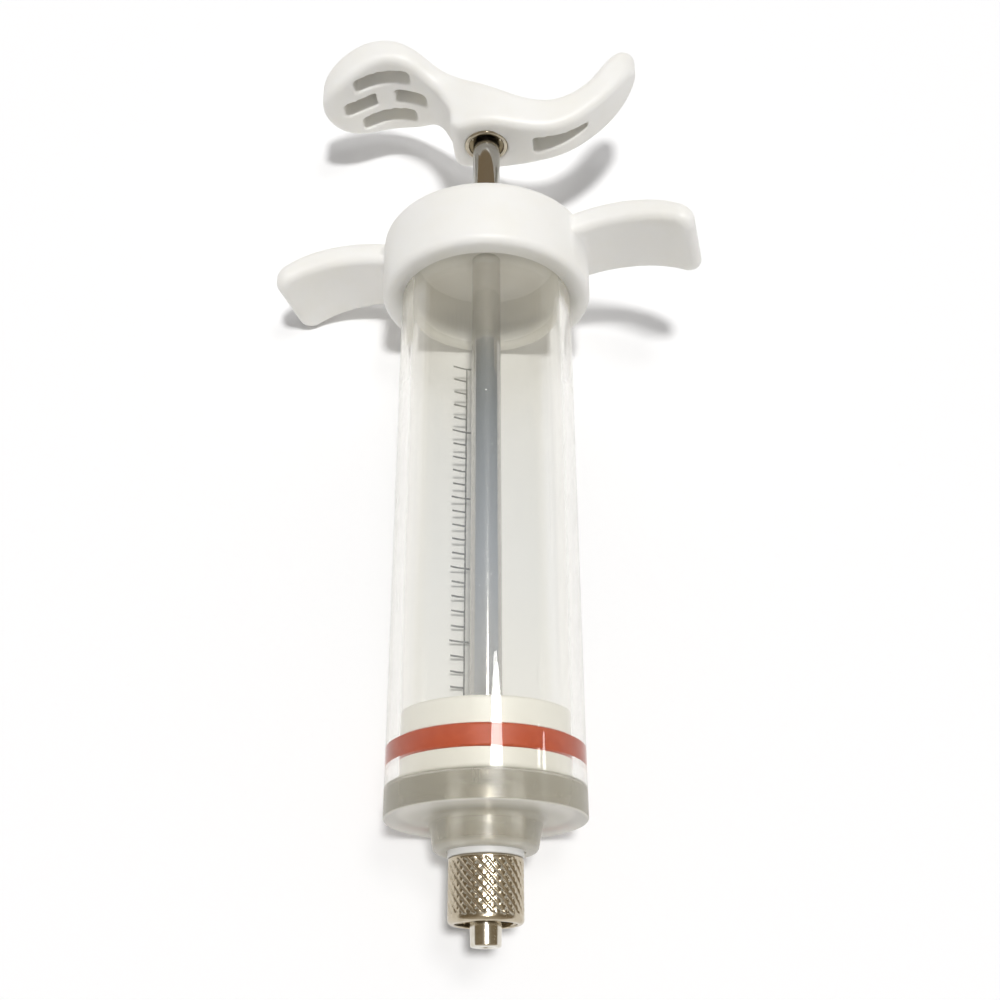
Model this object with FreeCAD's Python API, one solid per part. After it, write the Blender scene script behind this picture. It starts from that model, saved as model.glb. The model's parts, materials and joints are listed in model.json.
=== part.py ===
import FreeCAD, Part
import math
import os

# Reusable 30 ml syringe, lying on its side as it comes to rest.
# Lengths are in millimetres. Every piece is drawn about the Z axis, with the nozzle at -Z,
# the handle at +Z and z = 0 at the front face of the barrel, and is then laid down.
# While drawn, +X runs along the right finger wing and -Y is the side that ends on top.

# barrel
barrelRadius = 13.5        # outside, at the front rim
barrelTailRadius = 13.3    # outside, where the cap begins: the mould's draft
boreRadius = 11.6
barrelLength = 88.8
frontWall = 4.0
rimChamfer = 0.3
boreCornerChamfer = 0.6
bossBaseRadius = 7.6
bossNoseRadius = 6.8
bossLength = 4.0
bossNoseChamfer = 0.8
bossFillet = 0.8
tailThreadLength = 7.2
tailThreadRadius = 12.6

# nozzle, its washer and the knurled lock collar
washerRadius = 5.0
washerThickness = 1.25
washerSink = 0.5
washerSlack = 0.15         # radial room round the washer, and round the stud in it
studRadius = 3.4
studSlack = 0.05
studBack = 0.5             # the stud stops this far short of the bore floor
hubLength = 3.4
hubRadius = 3.75
tipLength = 7.5
tipRadius = 1.975          # at the open end
tipTaper = 0.03            # radius gained per millimetre of length
tipChamfer = 0.25
channelRadius = 0.75
funnelRadius = 2.2
funnelDepth = 1.6
collarRadius = 4.9
collarLength = 8.2
collarBoreRadius = 4.0
collarChamfer = 0.55
collarRearChamfer = 0.25
luerLead = 5.0
luerRidgeHeight = 0.42
luerRidgeWidth = 0.8
luerRidgeSink = 0.12       # how far a ridge's root is buried in the collar's wall

# piston: front disc, seal ring and rear disc, clamped on the rod
pistonGap = 0.35           # from the bore floor to the piston, as it lies
pistonSlack = 0.12
pistonFrontThickness = 2.6
pistonFrontChamfer = 0.7
sealThickness = 3.05
sealSlack = 0.03
sealChamfer = 0.3
spigotRadius = 6.5
spigotLength = 4.6
spigotSlack = 0.1
sealBoreSlack = 0.05
pistonRearThickness = 3.65
pistonRearChamfer = 0.5
shoulderSink = 1.6         # depth of the rod's shoulder in the rear disc

# rod
rodRadius = 2.25
rodThreadRadius = 1.95
rodThreadLength = 6.4      # front thread, beyond the shoulder
rodChamfer = 0.35
rodSlack = 0.05

# end cap with its two finger wings
capRadius = 16.4
capLap = 7.5               # how far the cap reaches over the barrel
capRound = 1.2
capBackRound = 1.8
capWall = 4.0
capCoreDepth = 0.5         # the wings start this deep in the cap's wall
capSlack = 0.08
wingReach = 33.9
wingHalfWidth = 6.4        # at the root
wingTipHalfWidth = 7.2
wingThickness = 3.9
wingCornerRound = 2.3
wingEdgeRound = 1.3
wingRootRise = 6.2         # wing front face above the cap's front edge, at the root
wingCrownRise = 7.15       # and at its crown
wingCrownAt = 22.5
wingCrownSpan = 3.4        # the crown is nearly flat this far inwards
wingCrownEase = 0.12       # and this much lower there
wingBendDrop = 0.8         # halfway from the crown to the tip
wingTipRise = 3.4

# handle: a wave-shaped push plate with a hub for the metal insert
hubStand = 24.4            # from the barrel's end to the hub's face
handleHubReach = 5.9       # from the axis to the hub's left wall
handleHubHalfWidth = 6.1
hubFootRound = 2.0         # round between the hub's face and its left wall
handleLeftReach = 28.6
handleRightReach = 25.8
lobeCentre = 17.6
lobeHalfWidth = 8.8
lobeRise = 12.4            # front face of the left lobe above the hub's face, at its crown
lobeEndRise = 9.6
neckHalfWidth = 5.4
armHalfWidth = 4.2
armDip = 0.5
armTipRise = 12.6
plateThickness = 5.2
handleEdgeRound = 1.4
handleLongEdge = 15        # edges longer than this are rounded

# handle outline seen along the axis: distances from the lobe, the hub and the arm's tip
lobeNoseRun = 1.2
lobeNoseHalfWidth = 3.9
lobeShoulderRun = 5.8
lobeShoulderDrop = 1.5
lobeFlankRun = 5.8
lobeFlankDrop = 1.0
neckRun = 1.8
hubWidestAt = -1.0
armRootRun = 2.6
armRootSwell = 0.5
armTaperRun = 8.0
armTipRun = 1.3
armTipDrop = 1.4

# handle seen from the side: stations, and rises from the hub's face
lobeOuterRun = 7.0
lobeInnerRun = 6.6
lobeInnerDrop = 1.5
lobeOuterLift = 0.1
lobeTailDrop = 0.4
neckFaceRun = 2.0          # from here the neck falls steeply into the hub's left wall
neckFaceRise = 8.0
neckFootRun = 0.5
neckFootRise = 5.0
armBendRun = 6.4
armClimbDrop = 9.4
armNoseRun = 2.0
armNoseDrop = 2.6
armOverrun = 2.4
lobeEndSlope = 0.05
armEndSlope = 1.8
waveOverrun = 1.0          # the wave is drawn this far past both ends
backTipRise = 3.6
backNoseRun = 3.4
backClimbDrop = 2.6
backArmRun = 6.0
backArmLift = 1.2
hubBackWall = 0.9          # behind the insert
backNeckRun = 3.0
backNeckDrop = 3.2
backLobeLift = 1.2
backTailDrop = 0.6
slotHeight = 2.8
slotPitch = 4.5
slotLength = 9.6
middleSlotLength = 14.4
slotRound = 0.7
pocketSkin = 1.6
pinRadius = 1.8
wedgeStart = 7.9
wedgeEnd = 17.2
wedgeHeight = 3.9
wedgeEndHeight = 1.3
wedgeSlant = 0.5
wedgeEndRound = 0.4
wedgeLift = 2.0            # how much higher the wedge's floor is than the slots'
cutterReach = 5.0          # how far cutters start below the hub's face

# metal insert in the handle
insertFlangeRadius = 3.65
insertFlangeThickness = 0.8
insertProud = 0.2
insertRadius = 3.1
insertLength = 8.0
insertMouthRadius = 2.9
insertMouthDepth = 1.6
insertChamfer = 0.15

# how the handle lies against the wings, turned about the axis
handleTurn = 9.0

nearly = 0.01              # two places closer than this are the same
wingRootStub = 0.2         # shorter edges at the wing's root stay sharp


def side(x, z):
    """A point of a drawing in the XZ plane, which holds the axis."""
    return FreeCAD.Vector(x, 0, z)


def flat(x, y):
    """A point of a drawing seen along the axis."""
    return FreeCAD.Vector(x, y, 0)


def roundedWire(corners, place=side, bevelled=False):
    """A closed outline through (a, b, radius) corners, rounded or cut straight across.

    At a corner of half angle h and radius r, the arc touches both sides at r / tan(h)
    from the corner, and its middle lies r / sin(h) - r from the corner.
    """
    edges = []
    ends = []
    count = len(corners)
    for index, (a, b, radius) in enumerate(corners):
        here = place(a, b)
        if radius <= 0:
            ends.append((here, here))
            continue
        before = place(*corners[index - 1][:2]) - here
        after = place(*corners[(index + 1) % count][:2]) - here
        before.normalize()
        after.normalize()
        half = before.getAngle(after) / 2
        bisector = before + after
        bisector.normalize()
        start = here + before * (radius / math.tan(half))
        finish = here + after * (radius / math.tan(half))
        middle = here + bisector * (radius / math.sin(half) - radius)
        if bevelled:
            edges.append(Part.makeLine(start, finish))
        else:
            edges.append(Part.Arc(start, middle, finish).toShape())
        ends.append((start, finish))
    for index in range(count):
        start = ends[index][1]
        finish = ends[(index + 1) % count][0]
        if (finish - start).Length > 1e-6:
            edges.append(Part.makeLine(start, finish))
    return Part.Wire(Part.__sortEdges__(edges))


def turned(corners, bevelled=True):
    """A solid turned about the Z axis, from the (radius, z, chamfer) corners of its section."""
    face = Part.Face(roundedWire(corners, side, bevelled))
    return face.revolve(FreeCAD.Vector(0, 0, 0), FreeCAD.Vector(0, 0, 1), 360)


def bar(radius, start, finish, x=0, y=0):
    return Part.makeCylinder(radius, finish - start, FreeCAD.Vector(x, y, start))


def curve(points, start=None, finish=None):
    """A smooth curve through the points given, with set directions at both ends if given."""
    line = Part.BSplineCurve()
    places = [side(*pair) for pair in points]
    if start:
        line.interpolate(Points=places, InitialTangent=side(*start), FinalTangent=side(*finish))
    else:
        line.interpolate(places)
    return line.toShape()


def across(wire, low, high):
    """A side outline made into a solid between two values of y."""
    face = Part.Face(wire)
    face.translate(FreeCAD.Vector(0, low, 0))
    return face.extrude(FreeCAD.Vector(0, high - low, 0))


def upright(wire, low, high):
    """An outline seen along the axis made into a solid between two heights."""
    face = Part.Face(wire)
    face.translate(FreeCAD.Vector(0, 0, low))
    return face.extrude(FreeCAD.Vector(0, 0, high - low))


def block(left, right, low, high, radius, start, finish):
    """An upright block with rounded corners."""
    corners = [(left, low, radius), (right, low, radius), (right, high, radius),
               (left, high, radius)]
    return upright(roundedWire(corners, flat), start, finish)


def eased(shape, radius, wanted):
    """The shape with the edges that the test picks rounded, or as it was if none fit."""
    edges = [edge for edge in shape.Edges if wanted(edge)]
    for share in (1.0, 0.7, 0.45):
        try:
            result = shape.makeFillet(radius * share, edges)
        except Exception:
            continue
        if result.isValid() and result.Volume > 0:
            return result
    return shape


def barrel():
    recess = -bossLength + washerSink
    return turned([
        (studRadius + studSlack, recess, 0),
        (washerRadius + washerSlack, recess, 0),
        (washerRadius + washerSlack, -bossLength, 0),
        (bossNoseRadius, -bossLength, bossNoseChamfer),
        (bossBaseRadius, 0, bossFillet),
        (barrelRadius, 0, rimChamfer),
        (barrelTailRadius, barrelLength - tailThreadLength, 0),
        (tailThreadRadius, barrelLength - tailThreadLength, 0),
        (tailThreadRadius, barrelLength, 0),
        (boreRadius, barrelLength, 0),
        (boreRadius, frontWall, boreCornerChamfer),
        (studRadius + studSlack, frontWall, 0)])


def nozzleWasher():
    back = -bossLength + washerSink
    return turned([
        (studRadius + washerSlack, back, 0),
        (washerRadius, back, 0),
        (washerRadius, back - washerThickness, 0),
        (studRadius + washerSlack, back - washerThickness, 0)])


def collarBack():
    """Height of the plane where the collar and the nozzle's hub bear on the washer."""
    return -bossLength + washerSink - washerThickness


def luerNozzle():
    """Turned nozzle: threaded stud, hub and tapered tip, with a channel right through."""
    back = collarBack()
    root = back - hubLength
    tip = root - tipLength
    stud = frontWall - studBack
    return turned([
        (channelRadius, tip, 0),
        (tipRadius, tip, tipChamfer),
        (tipRadius + tipTaper * tipLength, root, 0),
        (hubRadius, root, 0),
        (hubRadius, back, 0),
        (studRadius, back, 0),
        (studRadius, stud, tipChamfer),
        (funnelRadius, stud, 0),
        (channelRadius, stud - funnelDepth, 0)])


def luerRidge(start, height, turn):
    """One start of the lock thread: a ridge that winds up the inside of the collar."""
    radius = collarBoreRadius + luerRidgeSink
    inner = collarBoreRadius - luerRidgeHeight
    helix = Part.makeHelix(luerLead, height, radius)
    section = Part.makePolygon([
        FreeCAD.Vector(radius, 0, -luerRidgeWidth / 2),
        FreeCAD.Vector(inner, 0, -luerRidgeWidth / 4),
        FreeCAD.Vector(inner, 0, luerRidgeWidth / 4),
        FreeCAD.Vector(radius, 0, luerRidgeWidth / 2),
        FreeCAD.Vector(radius, 0, -luerRidgeWidth / 2)])
    ridge = Part.Wire(helix).makePipeShell([section], True, True)
    ridge.rotate(FreeCAD.Vector(0, 0, 0), FreeCAD.Vector(0, 0, 1), turn)
    ridge.translate(FreeCAD.Vector(0, 0, start))
    return ridge


def luerCollar():
    """Lock collar: pressed on the hub at its back, with a two-start thread at its mouth."""
    back = collarBack()
    front = back - collarLength
    root = back - hubLength
    sleeve = turned([
        (hubRadius, back, 0),
        (collarRadius, back, collarRearChamfer),
        (collarRadius, front, collarChamfer),
        (collarBoreRadius, front, 0),
        (collarBoreRadius, root, 0),
        (hubRadius, root, 0)])
    height = root - front - 2 * luerRidgeWidth
    for turn in (0, 180):
        sleeve = sleeve.fuse(luerRidge(front + luerRidgeWidth, height, turn))
    return sleeve


def pistonLevels():
    """Heights of the piston's planes: front, seal front, seal back, rear."""
    front = frontWall + pistonGap
    sealFront = front + pistonFrontThickness
    sealBack = sealFront + sealThickness
    return front, sealFront, sealBack, sealBack + pistonRearThickness


def pistonFront():
    """Front disc with the spigot that carries the seal and takes the rod's thread."""
    front, sealFront, sealBack, rear = pistonLevels()
    top = sealFront + spigotLength
    disc = boreRadius - pistonSlack
    return turned([
        (0, front, 0),
        (disc, front, pistonFrontChamfer),
        (disc, sealFront, 0),
        (spigotRadius, sealFront, 0),
        (spigotRadius, top, 0),
        (rodThreadRadius + rodSlack, top, 0),
        (rodThreadRadius + rodSlack, rodStart() - rodChamfer, 0),
        (0, rodStart() - rodChamfer, 0)])


def pistonSeal():
    front, sealFront, sealBack, rear = pistonLevels()
    outer = boreRadius - sealSlack
    inner = spigotRadius + sealBoreSlack
    return turned([
        (inner, sealFront, 0),
        (outer, sealFront, sealChamfer),
        (outer, sealBack, sealChamfer),
        (inner, sealBack, 0)])


def pistonRear():
    """Rear disc: slides over the spigot, and is held by the rod's shoulder."""
    front, sealFront, sealBack, rear = pistonLevels()
    disc = boreRadius - pistonSlack
    floor = sealFront + spigotLength + spigotSlack
    return turned([
        (spigotRadius + spigotSlack, sealBack, 0),
        (disc, sealBack, 0),
        (disc, rear, pistonRearChamfer),
        (rodRadius + rodSlack, rear, 0),
        (rodRadius + rodSlack, rear - shoulderSink, 0),
        (rodThreadRadius + rodSlack, rear - shoulderSink, 0),
        (rodThreadRadius + rodSlack, floor, 0),
        (spigotRadius + spigotSlack, floor, 0)])


def shoulder():
    """Height of the rod's shoulder, seated in the rear disc."""
    return pistonLevels()[3] - shoulderSink


def rodStart():
    return shoulder() - rodThreadLength


def rodEnd():
    return hubFace() - insertProud + insertLength - rodChamfer


def pistonRod():
    tail = hubFace() + insertMouthDepth - insertProud
    return turned([
        (0, rodStart(), 0),
        (rodThreadRadius, rodStart(), rodChamfer),
        (rodThreadRadius, shoulder(), 0),
        (rodRadius, shoulder(), 0),
        (rodRadius, tail, rodChamfer),
        (rodThreadRadius, tail, 0),
        (rodThreadRadius, rodEnd(), rodChamfer),
        (0, rodEnd(), 0)])


def capFront():
    return barrelLength - capLap


def capBack():
    return barrelLength + capWall


def hubFace():
    return barrelLength + hubStand


def capShell():
    """The turned part of the cap: lip, thread wall and end wall with the rod's hole."""
    lipBore = barrelTailRadius + capSlack
    return turned([
        (lipBore, capFront(), 0),
        (capRadius, capFront(), capRound),
        (capRadius, capBack(), capBackRound),
        (rodRadius + rodSlack, capBack(), 0),
        (rodRadius + rodSlack, barrelLength, 0),
        (tailThreadRadius, barrelLength, 0),
        (tailThreadRadius, barrelLength - tailThreadLength, 0),
        (lipBore, barrelLength - tailThreadLength, 0)], bevelled=False)


def wingRoot():
    """Distance from the axis of the wing's root, in the middle of the cap's wall."""
    return (capRadius + tailThreadRadius) / 2


def wingOutline():
    """Side outline of the wing: a flat crown, bent towards the nozzle at the tip."""
    front = capFront()
    bendAt = (wingCrownAt + wingReach) / 2
    face = [(wingRoot(), front + wingRootRise),
            (wingCrownAt - wingCrownSpan, front + wingCrownRise - wingCrownEase),
            (wingCrownAt, front + wingCrownRise),
            (bendAt, front + wingCrownRise - wingBendDrop),
            (wingReach, front + wingTipRise)]
    back = [(x, z + wingThickness) for x, z in reversed(face)]
    return Part.Wire([
        curve(face), Part.makeLine(side(*face[-1]), side(*back[0])), curve(back),
        Part.makeLine(side(*back[-1]), side(*face[0]))])


def wing():
    """Right finger wing: a curved plate whose tip leans towards the nozzle."""
    root = wingRoot()
    plate = across(wingOutline(), -wingTipHalfWidth, wingTipHalfWidth)
    corners = [(root, -wingHalfWidth, 0), (wingReach, -wingTipHalfWidth, wingCornerRound),
               (wingReach, wingTipHalfWidth, wingCornerRound), (root, wingHalfWidth, 0)]
    plate = plate.common(upright(roundedWire(corners, flat), 0, capBack() + capRadius))
    return eased(plate, wingEdgeRound,
                 lambda edge: reachesOut(edge, root) and not uprightEdge(edge))


def reachesOut(edge, root):
    """True for an edge that runs outwards from the wing's root, or lies beyond it."""
    box = edge.BoundBox
    return box.XMax > root + nearly and box.XMin > root - nearly and box.XLength > wingRootStub


def uprightEdge(edge):
    box = edge.BoundBox
    return box.ZLength > 4 * max(box.XLength, box.YLength)


def endCap():
    cap = capShell()
    right = wing()
    left = right.copy()
    left.rotate(FreeCAD.Vector(0, 0, 0), FreeCAD.Vector(0, 0, 1), 180)
    core = bar(tailThreadRadius + capCoreDepth, capFront(), capBack())
    for plate in (right, left):
        cap = cap.fuse(plate.cut(core))
    return cap.removeSplitter()


def handlePlanform():
    """Outline of the handle seen along the axis: a round lobe, a neck and a tapering arm."""
    half = [(-handleLeftReach, 0),
            (-handleLeftReach + lobeNoseRun, lobeNoseHalfWidth),
            (-lobeCentre - lobeShoulderRun, lobeHalfWidth - lobeShoulderDrop),
            (-lobeCentre, lobeHalfWidth),
            (-lobeCentre + lobeFlankRun, lobeHalfWidth - lobeFlankDrop),
            (-handleHubReach - neckRun, neckHalfWidth),
            (hubWidestAt, handleHubHalfWidth),
            (handleHubReach + armRootRun, armHalfWidth + armRootSwell),
            (handleRightReach - armTaperRun, armHalfWidth),
            (handleRightReach - armTipRun, armHalfWidth - armTipDrop),
            (handleRightReach, 0)]
    mirrored = [(x, -y) for x, y in reversed(half)]
    line = Part.BSplineCurve()
    line.interpolate([flat(x, y) for x, y in half + mirrored[1:-1]], PeriodicFlag=True)
    return Part.Wire(line.toShape())


def handleFront():
    """Front of the wave, from the lobe to the hub's left wall, and from the hub to the tip."""
    face = hubFace()
    left = [(-handleLeftReach - waveOverrun, face + lobeEndRise - lobeTailDrop),
            (-lobeCentre - lobeOuterRun, face + lobeEndRise + lobeOuterLift),
            (-lobeCentre, face + lobeRise),
            (-lobeCentre + lobeInnerRun, face + lobeRise - lobeInnerDrop),
            (-handleHubReach - neckFaceRun, face + neckFaceRise),
            (-handleHubReach - neckFootRun, face + neckFootRise),
            (-handleHubReach, face + hubFootRound)]
    right = [(-handleHubReach + hubFootRound, face),
             (0, face),
             (handleHubReach, face - armDip),
             (handleHubReach + armBendRun, face),
             (handleRightReach - armTaperRun, face + armTipRise - armClimbDrop),
             (handleRightReach - armNoseRun, face + armTipRise - armNoseDrop),
             (handleRightReach + waveOverrun, face + armTipRise + armOverrun)]
    return left, right


def handleBack():
    """Back of the wave, from the tip to the lobe."""
    face = hubFace()
    tip = face + armTipRise
    crown = face + lobeRise + plateThickness
    tail = face + lobeEndRise + plateThickness
    return [(handleRightReach + waveOverrun, tip + armOverrun + backTipRise),
            (handleRightReach - backNoseRun, tip + backTipRise),
            (handleRightReach - armTaperRun, tip - backClimbDrop),
            (handleHubReach + backArmRun, face + plateThickness + backArmLift),
            (0, face + insertLength + hubBackWall),
            (-handleHubReach - backNeckRun, crown - backNeckDrop),
            (-lobeCentre, crown),
            (-lobeCentre - lobeOuterRun, tail + backLobeLift),
            (-handleLeftReach - waveOverrun, tail - backTailDrop)]


def handleWave():
    """Side outline of the handle, blended from the lobe into the hub's left wall.

    The round at the wall's foot bulges hubFootRound * (1 - sqrt(1/2)) short of the corner.
    """
    left, right = handleFront()
    back = handleBack()
    inset = hubFootRound * (1 - math.sqrt(0.5))
    middle = side(-handleHubReach + inset, hubFace() + inset)
    return Part.Wire([
        curve(left, (1, lobeEndSlope), (0, -1)),
        Part.Arc(side(*left[-1]), middle, side(*right[0])).toShape(),
        curve(right, (1, 0), (1, armEndSlope)),
        Part.makeLine(side(*right[-1]), side(*back[0])),
        curve(back),
        Part.makeLine(side(*back[-1]), side(*left[0]))])


def handlePockets():
    """Moulded pockets in the handle's front face, as cutters."""
    top = hubFace() + lobeRise + plateThickness - pocketSkin
    low = hubFace() - cutterReach
    cutters = []
    for row, length in ((-1, slotLength), (0, middleSlotLength), (1, slotLength)):
        y = row * slotPitch
        slot = block(-lobeCentre - length / 2, -lobeCentre + length / 2,
                     y - slotHeight / 2, y + slotHeight / 2, slotRound, low, top)
        if row == 0:
            slot = slot.cut(bar(pinRadius, low, top, -lobeCentre))
        cutters.append(slot)
    wedge = roundedWire([
        (wedgeStart, -wedgeHeight / 2, slotRound),
        (wedgeEnd, -wedgeEndHeight / 2 - wedgeSlant, wedgeEndRound),
        (wedgeEnd, wedgeEndHeight / 2 - wedgeSlant, wedgeEndRound),
        (wedgeStart, wedgeHeight / 2, slotRound)], flat)
    cutters.append(upright(wedge, low, hubFace() + plateThickness - pocketSkin + wedgeLift))
    return cutters


def handle():
    """The wave cut to its outline, rounded, then given its pockets and the insert's seat."""
    low, high = hubFace() - cutterReach, hubFace() + 2 * handleRightReach
    plate = across(handleWave(), -2 * lobeHalfWidth, 2 * lobeHalfWidth)
    body = plate.common(upright(handlePlanform(), low, high))
    body = eased(body, handleEdgeRound, lambda edge: edge.Length > handleLongEdge)
    seat = hubFace() - insertProud
    cutters = handlePockets() + [
        bar(insertRadius, seat, seat + insertLength),
        bar(insertFlangeRadius, low, seat + insertFlangeThickness)]
    for cutter in cutters:
        body = body.cut(cutter)
    return body


def handleInsert():
    """Flanged metal insert, moulded into the hub, with a mouth round the rod."""
    seat = hubFace() - insertProud
    mouth = seat + insertMouthDepth
    return turned([
        (insertMouthRadius, seat, 0),
        (insertFlangeRadius, seat, insertChamfer),
        (insertFlangeRadius, seat + insertFlangeThickness, 0),
        (insertRadius, seat + insertFlangeThickness, 0),
        (insertRadius, seat + insertLength, 0),
        (rodThreadRadius, seat + insertLength, 0),
        (rodThreadRadius, mouth, 0),
        (insertMouthRadius, mouth, 0)])


def rimEdge():
    """Height and radius of the barrel's front edge, where the rim's chamfer meets the wall."""
    draft = (barrelRadius - barrelTailRadius) / (barrelLength - tailThreadLength)
    return rimChamfer, barrelRadius - draft * rimChamfer


def restSlope():
    """Angle between the axis and the floor, where the barrel's rim and the cap both touch.

    The floor goes through the rim's edge and is tangent to the cap's round of radius e: with
    d from the edge to the round's centre at angle a, the slope is a + asin(e / d).
    """
    edge, radius = rimEdge()
    run = capFront() + capRound - edge
    rise = capRadius - capRound - radius
    return math.atan2(rise, run) + math.asin(capRound / math.hypot(run, rise))


def restHeight():
    """Height of the front face's centre above the floor that the rim's edge touches."""
    edge, radius = rimEdge()
    return radius * math.cos(restSlope()) - edge * math.sin(restSlope())


def restRoll():
    """Turn about the axis that brings the left wing's lower corner down to the floor.

    With the corner's centre at distance c and angle b from the wing's middle line, and the
    floor at distance f from the axis there, c * sin(roll + b) + corner round = f.
    """
    slope = restSlope()
    station = capFront() + wingTipRise + wingEdgeRound
    floor = (restHeight() + station * math.sin(slope)) / math.cos(slope)
    centre = math.hypot(wingReach - wingCornerRound, wingTipHalfWidth - wingCornerRound)
    lead = math.atan2(wingTipHalfWidth - wingCornerRound, wingReach - wingCornerRound)
    return math.asin((floor - wingCornerRound) / centre) - lead


def restPlacement():
    """Moves a piece from the drawing to where it lies, with its nozzle towards -Y."""
    roll = FreeCAD.Rotation(FreeCAD.Vector(0, 0, 1), -math.degrees(restRoll()))
    lay = FreeCAD.Rotation(FreeCAD.Vector(1, 0, 0), -90 + math.degrees(restSlope()))
    return FreeCAD.Placement(FreeCAD.Vector(0, 0, restHeight()), lay.multiply(roll))


def turnedAbout(shape, degrees):
    moved = shape.copy()
    moved.rotate(FreeCAD.Vector(0, 0, 0), FreeCAD.Vector(0, 0, 1), degrees)
    return moved


def laidDown(pieces):
    """The pieces as they lie, with the origin under the middle of the whole, on the floor."""
    rest = restPlacement()
    laid = {}
    for name, shape in pieces.items():
        solid = shape.Solids[0] if len(shape.Solids) == 1 else shape
        solid.Placement = rest.multiply(solid.Placement)
        laid[name] = solid
    box = Part.makeCompound(list(laid.values())).optimalBoundingBox(False)
    shift = FreeCAD.Vector(-box.Center.x, -box.Center.y, -box.ZMin)
    for solid in laid.values():
        solid.translate(shift)
    print("shift", round(shift.x, 4), round(shift.y, 4), round(shift.z, 4))
    return laid


def main():
    turn = handleTurn
    pieces = {
        "barrel": barrel(),
        "nozzle_washer": nozzleWasher(),
        "luer_nozzle": luerNozzle(),
        "luer_collar": luerCollar(),
        "piston_front": pistonFront(),
        "piston_seal": pistonSeal(),
        "piston_rear": pistonRear(),
        "piston_rod": pistonRod(),
        "end_cap": endCap(),
        "handle": turnedAbout(handle(), turn),
        "handle_insert": turnedAbout(handleInsert(), turn)}
    os.makedirs("parts", exist_ok=True)
    for name, solid in laidDown(pieces).items():
        solid.exportStep(os.path.join("parts", name + ".step"))
        print(name, "solids", len(solid.Solids), "valid", solid.isValid(),
              "volume", round(solid.Volume, 1))


main()
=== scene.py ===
import json
import math

import bmesh
import bpy
import numpy as np
from mathutils import Matrix, Vector


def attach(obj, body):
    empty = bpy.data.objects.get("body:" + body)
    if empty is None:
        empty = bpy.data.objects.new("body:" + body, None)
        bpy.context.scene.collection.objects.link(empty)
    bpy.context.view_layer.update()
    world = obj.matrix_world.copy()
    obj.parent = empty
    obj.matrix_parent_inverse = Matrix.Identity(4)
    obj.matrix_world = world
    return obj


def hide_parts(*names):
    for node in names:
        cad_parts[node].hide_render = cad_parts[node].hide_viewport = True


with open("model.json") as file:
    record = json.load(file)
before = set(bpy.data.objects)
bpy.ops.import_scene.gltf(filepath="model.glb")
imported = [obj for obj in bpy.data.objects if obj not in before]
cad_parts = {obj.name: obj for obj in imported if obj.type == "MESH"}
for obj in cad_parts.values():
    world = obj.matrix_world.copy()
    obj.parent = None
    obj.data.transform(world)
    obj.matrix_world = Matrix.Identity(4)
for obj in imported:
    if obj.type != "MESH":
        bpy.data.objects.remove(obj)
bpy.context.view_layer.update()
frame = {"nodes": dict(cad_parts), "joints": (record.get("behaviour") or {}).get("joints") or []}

# Lengths in the dictionaries are millimetres and angles are degrees. Only the studio, the
# camera, the bumps and the depth of light in the white plastic are given in metres.
# A station is a distance along the syringe from the barrel's front face.
mm = 0.001
weldGap = 1e-7       # in metres: vertices closer than this are one

# the line that every turned piece is drawn about
joints = {joint["name"]: joint for joint in frame["joints"]}
hubStation = 113.2   # where the handle's joint sits on the axis
alongAxis = np.array(joints["plunger_slide"]["axis"], float)
alongAxis = alongAxis / np.linalg.norm(alongAxis)
noseCentre = np.array(joints["handle_turn"]["pos_m"], float) - alongAxis * hubStation * mm
sideways = np.array([1.0, 0.0, 0.0])
upwards = np.cross(sideways, alongAxis)


def laid(x, z, station):
    # nose centre + x across + z up + station along, as one array of points in metres
    x, z, station = np.broadcast_arrays(x, z, station)
    return (noseCentre + (x[..., None] * sideways + z[..., None] * upwards
                          + station[..., None] * alongAxis) * mm)


# meshes
def finished(name, mesh, body, material, replaced=(), sharpAngle=38):
    # closes seams and poles, turns the faces outwards and hands the piece to the frame
    work = bmesh.new()
    work.from_mesh(mesh)
    bmesh.ops.remove_doubles(work, verts=work.verts, dist=weldGap)
    bmesh.ops.recalc_face_normals(work, faces=work.faces)
    work.to_mesh(mesh)
    work.free()
    mesh.polygons.foreach_set("use_smooth", [True] * len(mesh.polygons))
    mesh.set_sharp_from_angle(angle=math.radians(sharpAngle))
    mesh.materials.clear()
    mesh.materials.append(material)
    piece = bpy.data.objects.new(name, mesh)
    bpy.context.scene.collection.objects.link(piece)
    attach(piece, body)
    if replaced:
        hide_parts(*replaced)
    return piece


def gridMesh(name, points, wrapRows=True, wrapColumns=True):
    # quads between neighbours of a rows x columns array of points, wrapped where it closes
    rows, columns = points.shape[:2]
    index = np.arange(rows * columns).reshape(rows, columns)
    down = np.roll(index, -1, axis=0) if wrapRows else index[1:]
    here = index if wrapRows else index[:-1]
    right = np.roll(here, -1, axis=1)
    downRight = np.roll(down, -1, axis=1)
    quads = np.stack([here, right, downRight, down], axis=-1)
    if not wrapColumns:
        quads = quads[:, :-1]
    mesh = bpy.data.meshes.new(name)
    mesh.from_pydata(points.reshape(-1, 3).tolist(), [], quads.reshape(-1, 4).tolist())
    mesh.update()
    return mesh


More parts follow.
